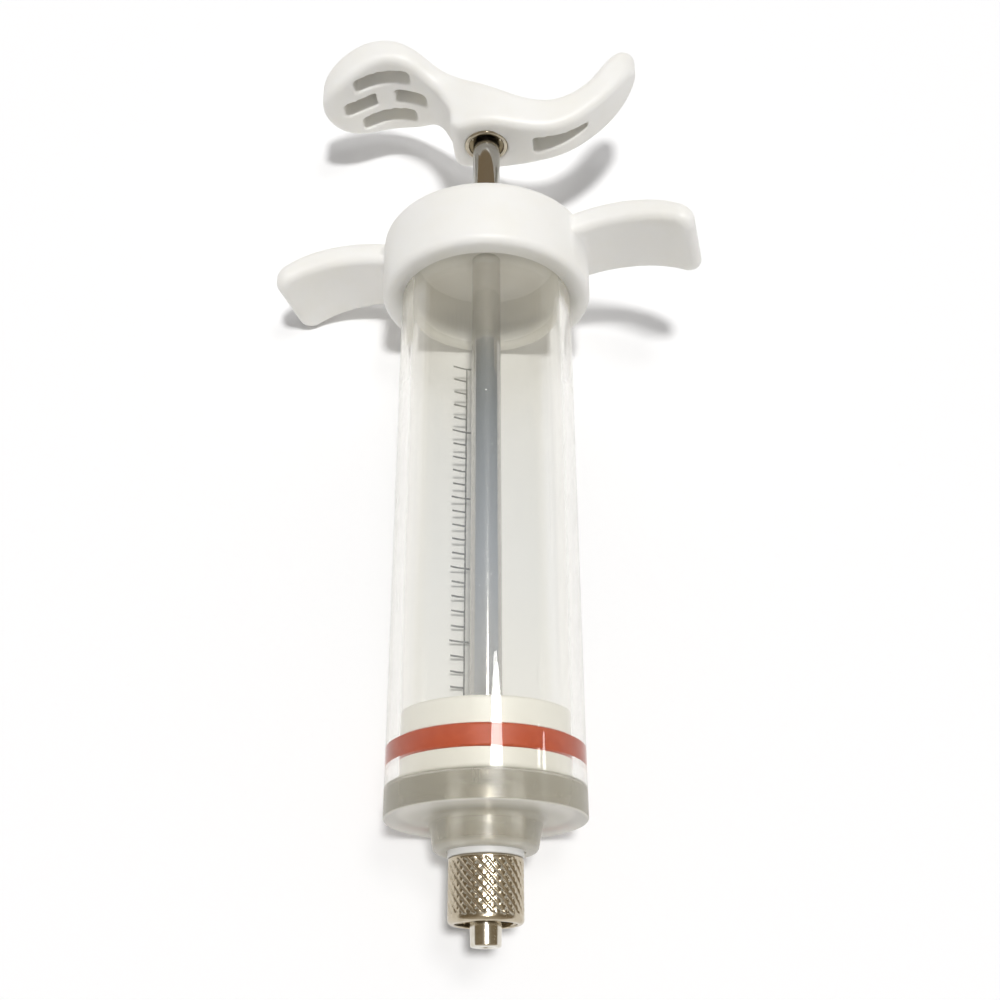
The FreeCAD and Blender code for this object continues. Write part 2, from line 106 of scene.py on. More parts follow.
def roundedProfile(corners, steps=7):
    # each (radius, station, round) corner becomes an arc that touches both of its sides at
    # round / tan(half angle) from the corner, with its centre at round / sin(half angle)
    parts = []
    for index, (radius, station, bend) in enumerate(corners):
        here = np.array([radius, station], float)
        if bend <= 0:
            parts.append(here[None])
            continue
        before = np.array(corners[index - 1][:2], float) - here
        after = np.array(corners[(index + 1) % len(corners)][:2], float) - here
        before, after = before / np.linalg.norm(before), after / np.linalg.norm(after)
        half = math.acos(np.clip(before @ after, -1, 1)) / 2
        middle = (before + after) / np.linalg.norm(before + after)
        centre = here + middle * bend / math.sin(half)
        start = here + before * bend / math.tan(half) - centre
        end = here + after * bend / math.tan(half) - centre
        sweep = math.pi - 2 * half
        t = np.linspace(0, 1, steps + 1)[:, None]
        parts.append(centre + (np.sin((1 - t) * sweep) * start + np.sin(t * sweep) * end)
                     / math.sin(sweep))
    return np.vstack(parts)


def supported(profile, long=0.6, inset=0.06):
    # a point just inside each end of every long side, so that shading stays true along it
    following = np.roll(profile, -1, axis=0)
    side = following - profile
    length = np.linalg.norm(side, axis=1, keepdims=True)
    step = side / np.maximum(length, 1e-9) * inset
    rows = np.stack([profile, profile + step, following - step], axis=1).reshape(-1, 2)
    keep = np.repeat(length > long, 3, axis=1)
    keep[:, 0] = True
    return rows[keep.reshape(-1)]


def lathe(name, corners, turns=192, relief=None):
    # a closed section (radius, station) turned about the axis; relief may change the radius
    profile = supported(roundedProfile(corners) if isinstance(corners, list) else corners)
    angle = np.linspace(0, 2 * math.pi, turns, endpoint=False)[None, :]
    radius, station = profile[:, :1] + 0 * angle, profile[:, 1:] + 0 * angle
    if relief is not None:
        radius = relief(radius, station, angle)
    return gridMesh(name, laid(radius * np.cos(angle), radius * np.sin(angle), station))


# materials
class Value:
    # a number socket that takes part in plain arithmetic
    def __init__(self, paint, socket):
        self.paint, self.socket = paint, socket

    def maths(self, operation, first, second):
        return self.paint.add("ShaderNodeMath", {"operation": operation}, {0: first, 1: second})

    def __add__(self, other):
        return self.maths("ADD", self, other)

    __radd__ = __add__

    def __sub__(self, other):
        return self.maths("SUBTRACT", self, other)

    def __rsub__(self, other):
        return self.maths("SUBTRACT", other, self)

    def __mul__(self, other):
        return self.maths("MULTIPLY", self, other)

    __rmul__ = __mul__

    def orMore(self, other):
        return self.maths("MAXIMUM", self, other)

    def ramped(self, low, high, start=0.0, end=1.0):
        # start below low, end above high, smooth between
        return self.paint.add("ShaderNodeMapRange", {"interpolation_type": "SMOOTHSTEP"},
                              {"Value": self, "From Min": low, "From Max": high,
                               "To Min": start, "To Max": end})


class Paint:
    # the nodes of one material, or of the world
    def __init__(self, name, owner=None):
        self.material = owner or bpy.data.materials.new(name)
        self.material.use_nodes = True
        self.nodes = self.material.node_tree.nodes
        self.links = self.material.node_tree.links
        self.nodes.clear()

    def add(self, kind, settings=None, sockets=None, output=0):
        node = self.nodes.new(kind)
        for key, value in (settings or {}).items():
            if key == "stops":
                while len(node.color_ramp.elements) < len(value):
                    node.color_ramp.elements.new(0.5)
                for element, (place, colour) in zip(node.color_ramp.elements, value):
                    element.position, element.color = place, (*colour, 1.0)
            else:
                setattr(node, key, value)
        for key, value in (sockets or {}).items():
            if isinstance(value, Value):
                self.links.new(value.socket, node.inputs[key])
            else:
                node.inputs[key].default_value = value
        return Value(self, node.outputs[output])

    def coordinates(self):
        # object coordinates in millimetres
        place = self.add("ShaderNodeTexCoord", output="Object")
        return self.add("ShaderNodeVectorMath", {"operation": "SCALE"},
                        {0: place, "Scale": 1000.0})

    def station(self, place):
        # distance along the axis from the barrel's front face
        nose = float(noseCentre @ alongAxis) * 1000
        along = self.add("ShaderNodeVectorMath", {"operation": "DOT_PRODUCT"},
                         {0: place, 1: tuple(alongAxis)}, output="Value")
        return along - nose

    def radius(self, place):
        # distance from the syringe's axis
        start = tuple((noseCentre * 1000).tolist())
        offset = self.add("ShaderNodeVectorMath", {"operation": "SUBTRACT"}, {0: place, 1: start})
        across = self.add("ShaderNodeVectorMath", {"operation": "CROSS_PRODUCT"},
                          {0: offset, 1: tuple(alongAxis)})
        return self.add("ShaderNodeVectorMath", {"operation": "LENGTH"}, {0: across},
                        output="Value")

    def noise(self, place, scale, detail=3.0, roughness=0.5):
        return self.add("ShaderNodeTexNoise", {}, {"Vector": place, "Scale": scale,
                                                   "Detail": detail, "Roughness": roughness})

    def stretched(self, place, across, along):
        # coordinates about the axis, scaled across it and along it
        slope = math.asin(alongAxis[2])
        return self.add("ShaderNodeMapping", {"vector_type": "POINT"},
                        {"Vector": place, "Rotation": (-slope, 0.0, 0.0),
                         "Scale": (across, along, across)})

    def blend(self, factor, first, second):
        # first where factor is 0, second where it is 1; a colour is three numbers or a socket
        first, second = [colour if isinstance(colour, Value) else (*colour, 1.0)
                         for colour in (first, second)]
        return self.add("ShaderNodeMix", {"data_type": "RGBA"},
                        {0: factor, 6: first, 7: second}, output=2)

    def mixed(self, share, first, second):
        # two shaders: all of the first where share is 0, all of the second where it is 1
        return self.add("ShaderNodeMixShader", {}, {0: share, 1: first, 2: second})

    def bump(self, height, distance, strength=1.0):
        return self.add("ShaderNodeBump", {}, {"Height": height, "Distance": distance,
                                               "Strength": strength})

    def principled(self, **sockets):
        named = {key.replace("_", " "): value for key, value in sockets.items()}
        return self.add("ShaderNodeBsdfPrincipled", {}, named)

    def output(self, surface, volume=None, kind="ShaderNodeOutputMaterial"):
        node = self.nodes.new(kind)
        self.links.new(surface.socket, node.inputs["Surface"])
        if volume is not None:
            self.links.new(volume.socket, node.inputs["Volume"])
        return self.material


def whitePlastic(name):
    # matt moulding, faintly cloudy, with a fine grain
    look = {"colour": (0.945, 0.93, 0.89), "shade": (0.93, 0.91, 0.855), "roughness": 0.36,
            "cloudRoughness": 0.1, "grainRoughness": 0.06, "grainHeight": 0.00002,
            "lightShare": 0.12, "lightDepth": (0.0025, 0.0024, 0.0021)}
    paint = Paint(name)
    place = paint.coordinates()
    clouds = paint.noise(place, 0.12, 4.0)
    grain = paint.noise(place, 3.2, 3.0, 0.6)
    colour = paint.blend(clouds.ramped(0.35, 0.7), look["colour"], look["shade"])
    roughness = (look["roughness"] + clouds * look["cloudRoughness"]
                 + grain * look["grainRoughness"])
    return paint.output(paint.principled(
        Base_Color=colour, Roughness=roughness, IOR=1.47,
        Subsurface_Weight=look["lightShare"], Subsurface_Radius=look["lightDepth"],
        Subsurface_Scale=1.0, Normal=paint.bump(grain, look["grainHeight"], 0.5)))


def clearPlastic(name):
    # glass with a thin share of milk: more of it in the front wall, on the face and at the tail.
    # On the face the milk is partly a satin finish and partly painted light, thinned towards the
    # boss as painted shade; at the tail it is a beige veil of painted light over the shade in the
    # cap
    look = {"tint": (0.985, 0.982, 0.97), "tintWorn": (1.0, 1.0, 0.99), "roughness": 0.01,
            "milk": (0.52, 0.49, 0.395), "milkShare": 0.012, "milkClouds": 0.01,
            "scratchShare": 0.05, "scratchRoughness": 0.05, "bumpHeight": 0.00001,
            "front": (4.6, 3.6), "frontMilk": 0.38, "frontRoughness": 0.22,
            # the face's paler milk colour is painted light, and its radial ramp thins it near the
            # boss as painted shade
            "paintedFaceLight": (0.90, 0.875, 0.80), "faceMilkAndLight": 0.28, "faceBack": (0.3, 0.05),
            "faceFront": (-0.7, -0.3), "faceShadeNearBoss": (8.0, 12.8, 0.15, 1.0),
            "bossFront": (-2.9, -3.95), "bossShare": 0.5,
            # the tail's beige milk is painted light: it lifts and warms the shade inside the cap
            # seen through the wall
            "tail": (60.0, 77.0), "tailPaintedLight": (0.86, 0.81, 0.67), "tailPaintedLightShare": 0.095,
            "absorption": (0.86, 0.84, 0.76), "density": 60.0,
            "passing": (0.96, 0.96, 0.955), "frontPassing": (0.50, 0.50, 0.51)}
    paint = Paint(name)
    place = paint.coordinates()
    clouds = paint.noise(place, 0.25, 3.0)
    scratches = paint.noise(paint.stretched(place, 3.0, 0.12), 1.0, 4.0, 0.6)
    marks = scratches.ramped(0.62, 0.78)
    station = paint.station(place)
    front = station.ramped(*look["front"])
    # painted light and shade on the face: more and paler milk where the face would be lit, less
    # near the boss where it is shaded
    face = (station.ramped(*look["faceBack"]) * station.ramped(*look["faceFront"])
            * paint.radius(place).ramped(*look["faceShadeNearBoss"])
            + station.ramped(*look["bossFront"]) * look["bossShare"])
    # painted light: a beige veil over the stations where the shaded inside of the cap shows
    # through
    tail = station.ramped(*look["tail"])
    roughness = (look["roughness"] + marks * look["scratchRoughness"]
                 + front * look["frontRoughness"])
    normal = paint.bump(paint.noise(place, 0.35, 2.0), look["bumpHeight"], 0.6)
    glass = paint.principled(Base_Color=paint.blend(clouds, look["tint"], look["tintWorn"]),
                             Roughness=roughness, IOR=1.5, Transmission_Weight=1.0,
                             Normal=normal)
    # the milk's colour holds painted light on the face and at the tail
    milkAndPaintedColour = paint.blend(tail, paint.blend(face, look["milk"], look["paintedFaceLight"]),
                             look["tailPaintedLight"])
    milk = paint.principled(Base_Color=milkAndPaintedColour, Roughness=0.5)
    share = (look["milkShare"] + clouds * look["milkClouds"] + marks * look["scratchShare"]
             + front * look["frontMilk"] + face * look["faceMilkAndLight"] + tail * look["tailPaintedLightShare"])
    milkyAndPainted = paint.mixed(share, glass, milk)

    # light for shadows and for dull surfaces goes straight through, dimmed by the front wall
    shadowRay = paint.add("ShaderNodeLightPath", output="Is Shadow Ray")
    diffuseRay = paint.add("ShaderNodeLightPath", output="Is Diffuse Ray")
    passing, frontPassing = [
        paint.add("ShaderNodeBsdfTransparent", {}, {"Color": (*look[key], 1.0)})
        for key in ("passing", "frontPassing")]
    passing = paint.mixed(front * shadowRay, passing, frontPassing)
    volume = paint.add("ShaderNodeVolumeAbsorption", {},
                       {"Color": (*look["absorption"], 1.0), "Density": look["density"]})
    return paint.output(paint.mixed(shadowRay.orMore(diffuseRay), milkyAndPainted, passing), volume)


def creamPlastic(name, colour=(0.975, 0.95, 0.86), shade=(0.96, 0.93, 0.83), roughness=0.38):
    # turned plastic: rings round the axis, a little uneven in colour
    paint = Paint(name)
    place = paint.coordinates()
    clouds = paint.noise(place, 0.3, 3.0)
    rings = paint.noise(paint.stretched(place, 0.1, 6.0), 1.0, 2.0)
    return paint.output(paint.principled(
        Base_Color=paint.blend(clouds, colour, shade), Roughness=roughness + rings * 0.12,
        IOR=1.49, Normal=paint.bump(rings, 0.00001, 0.5)))


def siliconeRubber(name):
    # dull rubber, paler in patches
    look = {"colour": (0.50, 0.065, 0.009), "pale": (0.56, 0.085, 0.018), "roughness": 0.42,
            "grainRoughness": 0.1, "grainHeight": 0.00001}
    paint = Paint(name)
    place = paint.coordinates()
    clouds = paint.noise(place, 0.8, 4.0)
    grain = paint.noise(place, 6.0, 2.0)
    return paint.output(paint.principled(
        Base_Color=paint.blend(clouds.ramped(0.4, 0.75), look["colour"], look["pale"]),
        Roughness=look["roughness"] + grain * look["grainRoughness"], IOR=1.42,
        Normal=paint.bump(grain, look["grainHeight"], 0.6)))


def platedMetal(name, colour, shade, roughness=0.16, lines=0.05):
    # turned and plated: fine rings round the axis, a little uneven in colour
    paint = Paint(name)
    place = paint.coordinates()
    rings = paint.noise(paint.stretched(place, 0.2, 9.0), 1.0, 3.0, 0.7)
    clouds = paint.noise(place, 0.9, 4.0)
    return paint.output(paint.principled(
        Base_Color=paint.blend(clouds.ramped(0.3, 0.75), colour, shade), Metallic=1.0,
        Roughness=roughness + rings * lines + clouds * 0.06,
        Normal=paint.bump(rings, 0.000006, 0.5)))


def chromeRod(name):
    # drawn bar: fine lines along the axis and a few specks
    look = {"colour": (0.50, 0.49, 0.465), "speck": (0.80, 0.79, 0.77), "roughness": 0.11,
            "lineRoughness": 0.03, "speckRoughness": 0.2, "lineHeight": 0.0000006}
    paint = Paint(name)
    place = paint.coordinates()
    drawn = paint.noise(paint.stretched(place, 8.0, 0.15), 1.0, 3.0, 0.6)
    specks = paint.noise(place, 2.6, 2.0).ramped(0.72, 0.8)
    return paint.output(paint.principled(
        Base_Color=paint.blend(specks, look["colour"], look["speck"]), Metallic=1.0,
        Roughness=(look["roughness"] + drawn * look["lineRoughness"]
                   + specks * look["speckRoughness"]),
        Normal=paint.bump(drawn, look["lineHeight"], 0.5)))


def printedInk(name):
    # dark ink, worn thin in patches
    look = {"colour": (0.10, 0.10, 0.105), "worn": (0.26, 0.26, 0.25), "roughness": 0.6}
    paint = Paint(name)
    worn = paint.noise(paint.coordinates(), 2.4, 4.0, 0.65)
    return paint.output(paint.principled(
        Base_Color=paint.blend(worn.ramped(0.35, 0.7), look["colour"], look["worn"]),
        Roughness=look["roughness"]))


materials = {
    "white": whitePlastic("whitePlastic"),
    "clear": clearPlastic("clearPlastic"),
    "cream": creamPlastic("creamPlastic"),
    "washer": creamPlastic("washerPlastic", (0.76, 0.755, 0.73), (0.70, 0.69, 0.66), 0.4),
    "seal": siliconeRubber("siliconeRubber"),
    "nozzle": platedMetal("nozzlePlate", (0.72, 0.69, 0.62), (0.63, 0.59, 0.50), 0.13, 0.03),
    "collar": platedMetal("collarPlate", (0.55, 0.485, 0.375), (0.44, 0.375, 0.27), 0.16),
    "insert": platedMetal("insertPlate", (0.54, 0.49, 0.39), (0.42, 0.37, 0.28), 0.07, 0.03),
    "rod": chromeRod("chromeRod"),
    "ink": printedInk("printedInk"),
}
print("materials made")

# clear barrel
barrelShape = {"radius": 13.5, "tailRadius": 13.3, "bore": 11.6, "length": 88.8,
               "frontWall": 4.0, "rimRound": 0.3, "floorRound": 0.6, "bossRadius": 7.6,
               "bossNose": 6.8, "bossLength": 4.0, "bossRound": 0.8, "neckRound": 0.8,
               "washerRadius": 5.15, "washerSink": 0.5, "washerRound": 0.12, "studRadius": 3.45,
               "threadRadius": 12.6, "threadLength": 7.2}


def barrelSection(shape):
    # recess, boss and rim, the wall drawn in evenly to the thread, then back down the bore
    recess = shape["washerSink"] - shape["bossLength"]
    shoulder = shape["length"] - shape["threadLength"]
    return [(shape["studRadius"], recess, 0),
            (shape["washerRadius"], recess, 0),
            (shape["washerRadius"], -shape["bossLength"], shape["washerRound"]),
            (shape["bossNose"], -shape["bossLength"], shape["bossRound"]),
            (shape["bossRadius"], 0, shape["neckRound"]),
            (shape["radius"], 0, shape["rimRound"]),
            (shape["tailRadius"], shoulder, 0),
            (shape["threadRadius"], shoulder, 0),
            (shape["threadRadius"], shape["length"], 0),
            (shape["bore"], shape["length"], 0),
            (shape["bore"], shape["frontWall"], shape["floorRound"]),
            (shape["studRadius"], shape["frontWall"], 0)]


finished("barrelShell", lathe("barrelShell", barrelSection(barrelShape), turns=320),
         "barrel_body", materials["clear"], ["barrel"])

# printed scale: one line with a mark for each millilitre, longer every fifth
scalePrint = {"zero": 5.1, "fivePitch": 11.83, "count": 30, "lineAngle": 12.6,
              "minorReach": 10.5, "majorReach": 11.5, "majorBack": 3.6, "lineWidth": 0.26,
              "markWidth": 0.3, "thickness": 0.02, "clearance": 0.006}


def inkSlabs(name, starts, ends, angleFrom, angleTo, shape, columns=8):
    # curved slabs of ink as a (slabs, 4 corners, columns) array: angle and station run from
    # start to end, and radius is the wall's own + clearance, + thickness on the outside
    starts, ends = np.atleast_1d(starts), np.atleast_1d(ends)
    angleFrom, angleTo = np.broadcast_arrays(angleFrom, angleTo, starts)[:2]
    draft = (barrelShape["radius"] - barrelShape["tailRadius"]) / (
        barrelShape["length"] - barrelShape["threadLength"])
    t = np.linspace(0, 1, columns)
    angle = np.radians(angleFrom[:, None] * (1 - t) + angleTo[:, None] * t)
    vertices, quads = [], []
    ring = np.array([[0, 0], [1, 0], [1, 1], [0, 1]])
    for low, high in ring:
        station = np.where(low, ends, starts)[:, None] + 0 * angle
        wall = barrelShape["radius"] - draft * station + shape["clearance"]
        radius = wall + high * shape["thickness"]
        vertices.append(laid(-radius * np.sin(angle), -radius * np.cos(angle), station))
    points = np.stack(vertices, axis=1)
    slabs = points.shape[0]
    index = np.arange(slabs * 4 * columns).reshape(slabs, 4, columns)
    near, far = index[:, :, :-1], index[:, :, 1:]
    sides = np.stack([near, far, np.roll(far, -1, axis=1), np.roll(near, -1, axis=1)], axis=-1)
    caps = np.concatenate([index[:, ::-1, 0], index[:, :, -1]])
    mesh = bpy.data.meshes.new(name)
    mesh.from_pydata(points.reshape(-1, 3).tolist(), [],
                     sides.reshape(-1, 4).tolist() + caps.tolist())
    mesh.update()
    return mesh


def scaleMesh(shape):
    # mark n stands at zero + n * pitch and reaches from line - back to line + reach
    pitch = shape["fivePitch"] / 5
    marks = shape["zero"] + pitch * np.arange(shape["count"] + 1)
    major = np.arange(shape["count"] + 1) % 5 == 0
    reach = np.where(major, shape["majorReach"], shape["minorReach"])
    back = np.where(major, shape["majorBack"], 0.0)
    line, half = shape["lineAngle"], shape["markWidth"] / 2
    ticks = inkSlabs("ticks", marks - half, marks + half, line - back, line + reach, shape)
    halfLine = math.degrees(shape["lineWidth"] / 2 / barrelShape["radius"])
    spine = inkSlabs("spine", marks[0], marks[-1], line - halfLine, line + halfLine, shape, 3)
    joined = bmesh.new()
    joined.from_mesh(ticks)
    joined.from_mesh(spine)
    mesh = bpy.data.meshes.new("scaleMarks")
    joined.to_mesh(mesh)
    joined.free()
    return mesh


finished("scaleMarks", scaleMesh(scalePrint), "barrel_body", materials["ink"])
print("barrel and scale made")

# washer, nozzle and knurled collar
nozzleShape = {"back": -4.75, "hubLength": 3.4, "hubRadius": 3.75, "tipLength": 7.5,
               "tipRadius": 1.975, "taper": 0.03, "tipRound": 0.28, "channel": 0.75,
               "channelFlare": 0.15, "studRadius": 3.4, "studEnd": 3.5, "funnel": 2.2,
               "funnelDepth": 1.6, "rootRound": 0.3, "studRound": 0.25}
washerShape = {"radius": 5.0, "inner": 3.55, "back": -3.5, "thickness": 1.25, "round": 0.2}
collarShape = {"radius": 4.9, "length": 8.2, "bore": 4.0, "frontRound": 0.6,
               "backRound": 0.25, "plainFront": 0.9, "plainBack": 0.35, "knurlCount": 24,
               "knurlPitch": 1.38, "knurlDepth": 0.17, "crossDepth": 0.06, "land": 0.45,
               "knurlRows": 90, "grooveSteps": 16, "ridgeLead": 5.0, "ridgeHeight": 0.42,
               "ridgeWidth": 0.8, "ridgeRows": 40, "ridgeInset": 0.2, "rootInset": 0.1,
               "mouthRound": 0.15, "fade": 0.3}


def nozzleSection(shape):
    # channel, tip of radius tipRadius + taper * distance from its end, hub, stud and funnel
    root = shape["back"] - shape["hubLength"]
    tip = root - shape["tipLength"]
    return [(shape["channel"], tip + shape["channelFlare"], 0),
            (shape["channel"] + shape["channelFlare"], tip, 0),
            (shape["tipRadius"], tip, shape["tipRound"]),
            (shape["tipRadius"] + shape["taper"] * shape["tipLength"], root,
             shape["rootRound"]),
            (shape["hubRadius"], root, 0),
            (shape["hubRadius"], shape["back"], 0),
            (shape["studRadius"], shape["back"], 0),
            (shape["studRadius"], shape["studEnd"], shape["studRound"]),
            (shape["funnel"], shape["studEnd"], 0),
            (shape["channel"], shape["studEnd"] - shape["funnelDepth"], 0)]


def washerSection(shape):
    # a flat ring with its front edge rounded
    front = shape["back"] - shape["thickness"]
    return [(shape["inner"], shape["back"], 0), (shape["radius"], shape["back"], 0),
            (shape["radius"], front, shape["round"]), (shape["inner"], front, 0)]


def collarSection(shape, back):
    # the outside is divided finely enough to carry the knurl
    front = back - shape["length"]
    root = back - nozzleShape["hubLength"]
    outline = roundedProfile([
        (nozzleShape["hubRadius"], back, 0),
        (shape["radius"], back, shape["backRound"]),
        (shape["radius"], front, shape["frontRound"]),
        (shape["bore"], front, shape["mouthRound"]),
        (shape["bore"], root, 0),
        (nozzleShape["hubRadius"], root, 0)])
    knurled = np.linspace(back - shape["plainBack"], front + shape["plainFront"],
                          shape["knurlRows"])
    band = np.stack([np.full_like(knurled, shape["radius"]), knurled], axis=-1)
    outer = np.flatnonzero(outline[:, 0] > shape["radius"] - 1e-6)
    split = outer[0] + 1
    outline = np.vstack([outline[:split], band, outline[split:]])
    inner = np.flatnonzero(np.abs(outline[:, 0] - shape["bore"]) < 1e-6)[0] + 1
    mouth = np.linspace(front + shape["ridgeInset"], root - shape["rootInset"],
                        shape["ridgeRows"])
    mouth = np.stack([np.full_like(mouth, shape["bore"]), mouth], axis=-1)
    return np.vstack([outline[:inner], mouth, outline[inner:]])


def knurl(shape, back):
    # two sets of V grooves, n * angle +- station / pitch; the deeper of the two cuts the wall
    low = back - shape["length"] + shape["plainFront"]
    high = back - shape["plainBack"]

    def relief(radius, station, angle):
        turn = shape["knurlCount"] * angle / (2 * math.pi)
        run = station / shape["knurlPitch"]
        across, along = [np.clip((np.abs(2 * ((turn + way * run) % 1) - 1) - shape["land"])
                                 / (1 - shape["land"]), 0, 1) for way in (1, -1)]
        groove = np.maximum(shape["crossDepth"] * across, shape["knurlDepth"] * along)
        fade = (np.clip((station - low) / shape["fade"], 0, 1)
                * np.clip((high - station) / shape["fade"], 0, 1))
        outside = radius > shape["radius"] - 1e-6
        return radius - np.where(outside, groove * fade, 0) - thread(radius, station, angle)

    def thread(radius, station, angle):
        # two ridges in the mouth: high where station / lead + angle / turn is near 0 or 1/2
        phase = 2 * (station / shape["ridgeLead"] - angle / (2 * math.pi))
        off = np.abs((phase + 0.5) % 1 - 0.5) * shape["ridgeLead"] / 2
        ridge = np.clip(2 - 4 * off / shape["ridgeWidth"], 0, 1)
        front, root = back - shape["length"], back - nozzleShape["hubLength"]
        ends = (np.clip((station - front - shape["ridgeInset"]) / shape["fade"], 0, 1)
                * np.clip((root - shape["fade"] - station) / shape["fade"], 0, 1))
        inside = np.abs(radius - shape["bore"]) < 1e-6
        return np.where(inside, shape["ridgeHeight"] * ridge * ends, 0)
    return relief


finished("washerRing", lathe("washerRing", washerSection(washerShape), 128),
         "barrel_body", materials["washer"], ["nozzle_washer"])
finished("nozzleTurned", lathe("nozzleTurned", nozzleSection(nozzleShape), 128),
         "barrel_body", materials["nozzle"], ["luer_nozzle"])
collarMesh = lathe("collarKnurled", collarSection(collarShape, nozzleShape["back"]),
                   collarShape["knurlCount"] * collarShape["grooveSteps"],
                   knurl(collarShape, nozzleShape["back"]))
finished("collarKnurled", collarMesh, "barrel_body", materials["collar"],
         ["luer_collar"], sharpAngle=60)
print("nozzle and collar made")

# piston
pistonShape = {"front": 4.35, "frontThickness": 2.6, "seal": 3.05, "rear": 3.65,
               "discRadius": 11.48, "sealRadius": 11.64, "frontRound": 0.7, "rearRound": 0.5,
               "spigot": 6.5, "spigotLength": 4.6, "sealInner": 6.55, "sealRound": 0.35,
               "rodHole": 2.3, "threadHole": 2.0, "shoulder": 1.6, "rodStart": 5.3,
               "slack": 0.1, "smallRound": 0.1, "holeRound": 0.15}


def pistonSections(shape):
    # front disc with its spigot, seal and rear disc, each starting where the last one ends
    sealFront = shape["front"] + shape["frontThickness"]
    sealBack = sealFront + shape["seal"]
    rear = sealBack + shape["rear"]
    top = sealFront + shape["spigotLength"]
    socket = shape["spigot"] + shape["slack"]
    frontDisc = [(0, shape["front"], 0),
                 (shape["discRadius"], shape["front"], shape["frontRound"]),
                 (shape["discRadius"], sealFront, shape["smallRound"]),
                 (shape["spigot"], sealFront, 0), (shape["spigot"], top, 0),
                 (shape["threadHole"], top, 0), (shape["threadHole"], shape["rodStart"], 0),
                 (0, shape["rodStart"], 0)]
    seal = [(shape["sealInner"], sealFront, 0),
            (shape["sealRadius"], sealFront, shape["sealRound"]),
            (shape["sealRadius"], sealBack, shape["sealRound"]),
            (shape["sealInner"], sealBack, 0)]
    rearDisc = [(socket, sealBack, 0), (shape["discRadius"], sealBack, shape["smallRound"]),
                (shape["discRadius"], rear, shape["rearRound"]),
                (shape["rodHole"], rear, shape["holeRound"]),
                (shape["rodHole"], rear - shape["shoulder"], 0),
                (shape["threadHole"], rear - shape["shoulder"], 0),
                (shape["threadHole"], top + shape["slack"], 0),
                (socket, top + shape["slack"], 0)]
    return frontDisc, seal, rearDisc


frontDisc, sealRing, rearDisc = pistonSections(pistonShape)
finished("pistonFront", lathe("pistonFront", frontDisc), "piston", materials["cream"],
         ["piston_front"])
finished("pistonSeal", lathe("pistonSeal", sealRing), "piston", materials["seal"],
         ["piston_seal"])
finished("pistonRear", lathe("pistonRear", rearDisc), "piston", materials["cream"],
         ["piston_rear"])

# rod
rodShape = {"radius": 2.25, "threadRadius": 1.95, "start": 5.65, "shoulder": 12.05,
            "tail": 114.6, "end": 120.65, "round": 0.3}


def rodSection(shape):
    # threaded end, shoulder, bar and threaded tail
    return [(0, shape["start"], 0), (shape["threadRadius"], shape["start"], shape["round"]),
            (shape["threadRadius"], shape["shoulder"], 0), (shape["radius"], shape["shoulder"], 0),
            (shape["radius"], shape["tail"], shape["round"]),
            (shape["threadRadius"], shape["tail"], 0),
            (shape["threadRadius"], shape["end"], shape["round"]), (0, shape["end"], 0)]


finished("rodBar", lathe("rodBar", rodSection(rodShape), 96), "push_rod", materials["rod"],
         ["piston_rod"])

# insert in the handle
insertShape = {"flange": 3.65, "flangeThickness": 0.8, "seat": 113.0, "radius": 3.1,
               "length": 7.0, "mouth": 2.9, "mouthDepth": 1.6, "thread": 1.95, "round": 0.35}


def insertSection(shape):
    # flange, then a narrower sleeve, with a wide mouth that leads to the thread
    seat = shape["seat"]
    return [(shape["mouth"], seat, shape["round"]), (shape["flange"], seat, shape["round"]),
            (shape["flange"], seat + shape["flangeThickness"], 0),
            (shape["radius"], seat + shape["flangeThickness"], 0),
            (shape["radius"], seat + shape["length"], 0),
            (shape["thread"], seat + shape["length"], 0),
            (shape["thread"], seat + shape["mouthDepth"], 0),
            (shape["mouth"], seat + shape["mouthDepth"], 0)]


finished("insertRing", lathe("insertRing", insertSection(insertShape), 96), "push_rod",
         materials["insert"], ["handle_insert"])
print("piston, rod and insert made")


# white mouldings: merged copies of the solids, shaded smooth
capShape = {"weld": 0.002, "sharpAngle": 32}
# The handle's pockets come close to its back. A patch under the back's line keeps a wall:
# the line's ends as (across, station) pairs, how far it bows up between them, how deep the
# patch goes and half its width.
handleShape = {"weld": 0.002, "voxel": 0.3, "passes": 4, "lean": 8.6, "patches": [
    {"start": (-25.6, 128.83), "end": (-22.4, 129.95), "bow": 0.03, "depth": 1.0, "half": 1.6},
    {"start": (-14.6, 130.3), "end": (-10.4, 128.46), "bow": 0.13, "depth": 1.0, "half": 1.6},
    {"start": (0.0, 122.1), "end": (3.4, 120.55), "bow": -0.06, "depth": 0.6, "half": 3.2}]}


def skinned(mesh, voxel, passes):
    # an even skin over the merged solid, one voxel of detail, eased by a few smoothing passes
    solid = bpy.data.objects.new("solidSkin", mesh)
    bpy.context.scene.collection.objects.link(solid)
    remesh = solid.modifiers.new("skin", "REMESH")
    remesh.mode, remesh.voxel_size, remesh.adaptivity = "VOXEL", voxel * mm, 0.0
    ease = solid.modifiers.new("ease", "SMOOTH")
    ease.factor, ease.iterations = 0.5, passes
    evaluated = solid.evaluated_get(bpy.context.evaluated_depsgraph_get())
    skin = bpy.data.meshes.new_from_object(evaluated)
    bpy.data.objects.remove(solid)
    return skin


